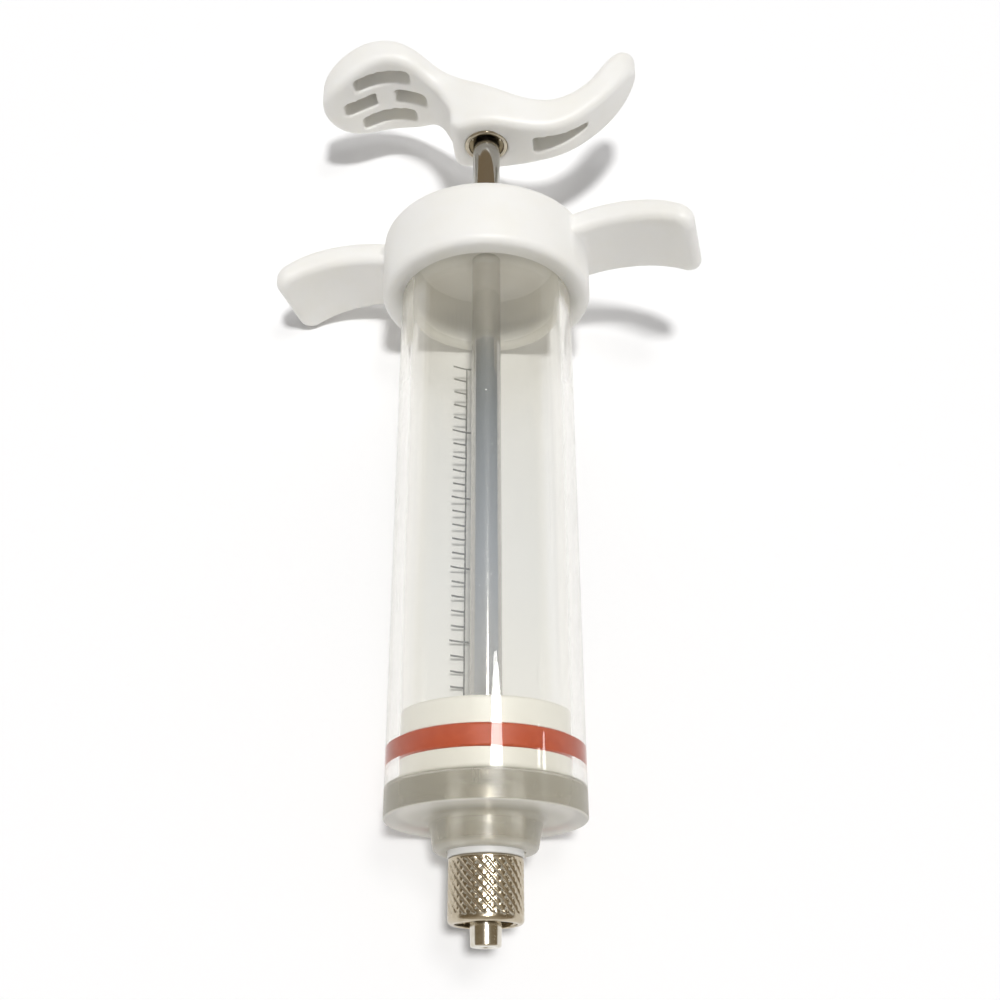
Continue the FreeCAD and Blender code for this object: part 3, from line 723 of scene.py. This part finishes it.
def wallPatch(shape, lean, steps=6):
    # a prism: the line stands 4 * bow * t * (1 - t) above the straight one from start to end,
    # and the outline (line, line - depth) is swept from -half to half across the leaning
    # handle and closed by a fan at each end
    t = np.linspace(0, 1, steps)
    run, top = np.outer(shape["start"], 1 - t) + np.outer(shape["end"], t)
    top = top + 4 * shape["bow"] * t * (1 - t)
    outline = np.concatenate([np.stack([run, top], 1),
                              np.stack([run, top - shape["depth"]], 1)[::-1]])
    middle = np.tile(outline.mean(axis=0), (len(outline), 1))
    across, station = np.moveaxis(np.stack([middle, outline, outline, middle], axis=1), 2, 0)
    up = np.array([-1, -1, 1, 1]) * shape["half"]
    cosine, sine = math.cos(math.radians(lean)), math.sin(math.radians(lean))
    return gridMesh("wallPatch", laid(across * cosine + up * sine, across * sine - up * cosine,
                                      station), wrapColumns=False)


def moulding(name, node, body, shape):
    # a merged copy of the node's mesh, with patches and a skin where its shape has them
    copied = frame["nodes"][node].data.copy()
    copied.name = name
    if copied.has_custom_normals:
        copied.normals_split_custom_set([(0, 0, 0)] * len(copied.loops))
    work = bmesh.new()
    work.from_mesh(copied)
    for patch in shape.get("patches", []):
        work.from_mesh(wallPatch(patch, shape["lean"]))
    bmesh.ops.remove_doubles(work, verts=work.verts, dist=shape["weld"] * mm)
    if "patches" in shape:
        bmesh.ops.dissolve_degenerate(work, edges=work.edges, dist=weldGap)
        bmesh.ops.recalc_face_normals(work, faces=work.faces)
    work.to_mesh(copied)
    work.free()
    if "voxel" in shape:
        copied = skinned(copied, shape["voxel"], shape["passes"])
        copied.name = name
    copied.polygons.foreach_set("use_smooth", [True] * len(copied.polygons))
    if "sharpAngle" in shape:
        copied.set_sharp_from_angle(angle=math.radians(shape["sharpAngle"]))
    copied.materials.clear()
    copied.materials.append(materials["white"])
    piece = bpy.data.objects.new(name, copied)
    bpy.context.scene.collection.objects.link(piece)
    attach(piece, body)
    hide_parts(node)
    return piece


moulding("capMoulding", "end_cap", "barrel_body", capShape)
moulding("handleMoulding", "handle", "push_rod", handleShape)
print("cap and handle made")

# floor, light and camera
studio = {"floorSize": 6.0, "floorColour": (0.97, 0.965, 0.965), "floorGlow": 0.03,
          "ambient": (0.295, 0.293, 0.293), "keyDirection": (0.02, -0.08, 1.0), "keyAngle": 7.5,
          "keyStrength": 1.90, "shineDirection": (0.15, 0.172, 0.973), "shineAngle": 13.5,
          "shineStrength": 0.34, "glossStrength": 0.28, "lowDirection": (0.10, 0.03, 0.995),
          "lowAngle": 12.0, "lowStrength": 0.34, "sideDirection": (0.88, 0.218, 0.42),
          "sideAngle": 4.0, "sideStrength": 0.04, "backdrop": (1.0, 1.0, 1.0),
          "throughGlass": (0.93, 0.93, 0.93)}

# what metal mirrors of the room, by how far a direction leans along the syringe: -1 to 1
mirroredRoom = [(-1.0, (0.62, 0.58, 0.52)), (-0.2, (0.26, 0.205, 0.135)),
                (0.14, (0.19, 0.15, 0.09)), (0.225, (0.21, 0.17, 0.12)),
                (0.26, (0.95, 0.97, 1.0)), (0.36, (0.72, 0.79, 0.91)),
                (0.50, (0.38, 0.42, 0.46)), (0.58, (0.27, 0.20, 0.12)),
                (1.0, (0.34, 0.25, 0.155))]


def floorMaterial(shape):
    # lit plainly, with a little glow that only the camera, metal and glass see
    paint = Paint("floorPaper")
    path = {key: paint.add("ShaderNodeLightPath", output=key)
            for key in ("Is Camera Ray", "Is Glossy Ray", "Is Transmission Ray")}
    seen = path["Is Camera Ray"].orMore(path["Is Glossy Ray"])
    seen = seen.orMore(path["Is Transmission Ray"])
    paper = paint.add("ShaderNodeBsdfDiffuse", {}, {"Color": (*shape["floorColour"], 1.0)})
    glow = paint.add("ShaderNodeEmission", {}, {"Strength": seen * shape["floorGlow"]})
    return paint.output(paint.add("ShaderNodeAddShader", {}, {0: paper, 1: glow}))


def makeFloor(shape):
    # one square in the plane z = 0
    mesh = bpy.data.meshes.new("floor")
    half = shape["floorSize"] / 2
    mesh.from_pydata([(-half, -half, 0), (half, -half, 0), (half, half, 0), (-half, half, 0)],
                     [], [(0, 1, 2, 3)])
    mesh.materials.append(floorMaterial(shape))
    floor = bpy.data.objects.new("floor", mesh)
    bpy.context.scene.collection.objects.link(floor)


def makeWorld(shape):
    # white to the camera and through glass, the room in mirrors, and plain grey light
    world = bpy.data.worlds.new("studioWorld")
    bpy.context.scene.world = world
    paint = Paint("studioWorld", world)
    path = {key: paint.add("ShaderNodeLightPath", output=key) for key in (
        "Is Camera Ray", "Is Glossy Ray", "Is Transmission Ray", "Diffuse Depth", "Glossy Depth")}
    direction = paint.add("ShaderNodeTexCoord", output="Generated")
    along = paint.add("ShaderNodeSeparateXYZ", {}, {0: direction}, output="Y")
    room = paint.add("ShaderNodeValToRGB", {"stops": [((place + 1) / 2, colour)
                                                      for place, colour in mirroredRoom]},
                     {0: (along + 1.0) * 0.5})
    mirrored = path["Glossy Depth"].ramped(0.0, 1.0)
    clear = path["Is Transmission Ray"] * (1.0 - mirrored)
    behind = paint.blend(clear, shape["ambient"], shape["throughGlass"])
    seen = paint.blend(mirrored, behind, room)
    lit = paint.blend(path["Diffuse Depth"].ramped(0.0, 1.0), seen, shape["ambient"])
    colour = paint.blend(path["Is Camera Ray"], lit, shape["backdrop"])
    paint.output(paint.add("ShaderNodeBackground", {}, {"Color": colour}),
                 kind="ShaderNodeOutputWorld")


def makeSun(name, direction, angle, strength, glossOnly=False):
    # a lamp far off in a direction; one that is glossOnly shows only as a reflection
    light = bpy.data.lights.new(name, "SUN")
    light.angle, light.energy = math.radians(angle), strength
    lamp = bpy.data.objects.new(name, light)
    lamp.visible_diffuse = not glossOnly
    lamp.rotation_mode = "QUATERNION"
    lamp.rotation_quaternion = Vector(direction).to_track_quat("Z", "Y")
    lamp.location = Vector(direction)
    bpy.context.scene.collection.objects.link(lamp)


def makeCamera():
    # right, -down and -forward are the columns of the camera's turn
    view = {"place": (-0.00874002, -0.09715678, 0.17974341),
            "right": (0.9980516, -0.00616501, 0.06208862),
            "down": (0.0233074, -0.88623196, -0.46265504),
            "forward": (0.05787719, 0.46320072, -0.88436153),
            "lens": 45.578, "sensor": 36.0, "nearest": 0.01, "farthest": 20.0}
    data = bpy.data.cameras.new("photoCamera")
    data.lens, data.sensor_width = view["lens"], view["sensor"]
    data.clip_start, data.clip_end = view["nearest"], view["farthest"]
    camera = bpy.data.objects.new("photoCamera", data)
    columns = (Vector(view["right"]), -Vector(view["down"]), -Vector(view["forward"]))
    turn = Matrix([[column[row] for column in columns] for row in range(3)])
    camera.matrix_world = Matrix.Translation(view["place"]) @ turn.to_4x4()
    bpy.context.scene.collection.objects.link(camera)
    bpy.context.scene.camera = camera


makeFloor(studio)
makeWorld(studio)
makeSun("keyLight", studio["keyDirection"], studio["keyAngle"], studio["keyStrength"])
makeSun("shineLight", studio["shineDirection"], studio["shineAngle"], studio["shineStrength"])
makeSun("glossLight", studio["shineDirection"], studio["shineAngle"], studio["glossStrength"],
        glossOnly=True)
makeSun("lowLight", studio["lowDirection"], studio["lowAngle"], studio["lowStrength"],
        glossOnly=True)
makeSun("sideLight", studio["sideDirection"], studio["sideAngle"], studio["sideStrength"],
        glossOnly=True)
makeCamera()
bpy.context.scene.view_settings.view_transform = "Standard"
print("studio made")
